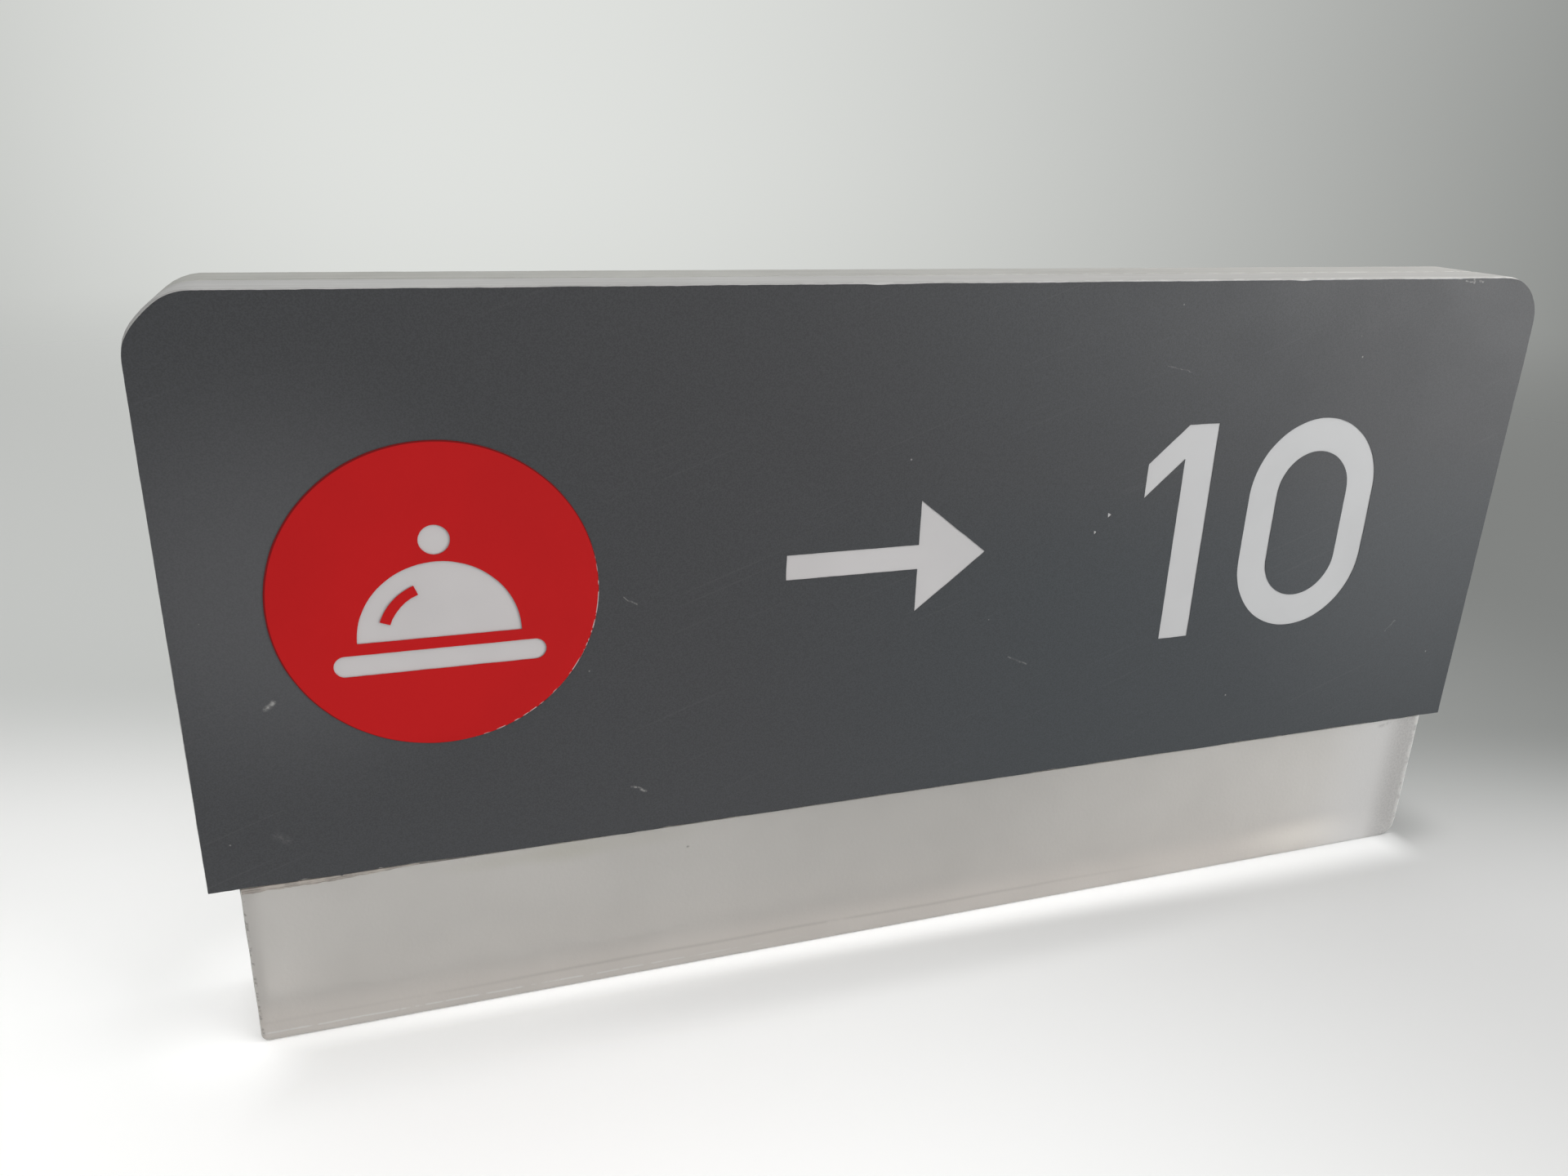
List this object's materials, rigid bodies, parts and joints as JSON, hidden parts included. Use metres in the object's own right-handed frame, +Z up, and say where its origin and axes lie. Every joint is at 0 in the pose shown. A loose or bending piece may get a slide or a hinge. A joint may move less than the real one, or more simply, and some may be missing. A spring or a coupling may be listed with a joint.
{
  "type": "table sign",
  "caption": "Free-standing two-ply acrylic table sign with round top corners, faced with grey film with cut windows and a red badge, on a narrower clear satin base.",
  "frame": {"origin": "on the table under the middle of the sign, at the bottom centre of its box", "axes": "+X along the width to the viewer's right, +Y from the face to the rear, +Z up"},
  "size_m": [0.2, 0.0156, 0.1],
  "materials": {
    "red_film": "satin red vinyl film",
    "grey_film": "satin dark grey vinyl film, lightly scratched",
    "white_film": "satin white film",
    "frosted_acrylic": "frosted cast acrylic with sawn edges",
    "clear_bond": "clear cured adhesive",
    "satin_acrylic": "satin clear cast acrylic",
    "dried_glue": "dried brownish glue"
  },
  "bodies": {
    "root": {"badge_film": "red_film", "bell_glint": "red_film", "face_film": "grey_film", "nought_middle": "grey_film", "backing_film": "white_film", "front_sheet": "frosted_acrylic", "sheet_bond": "clear_bond", "rear_sheet": "frosted_acrylic", "base_bond": "clear_bond", "base_slab": "satin_acrylic", "glue_bead": "dried_glue"}
  },
  "joints": []
}
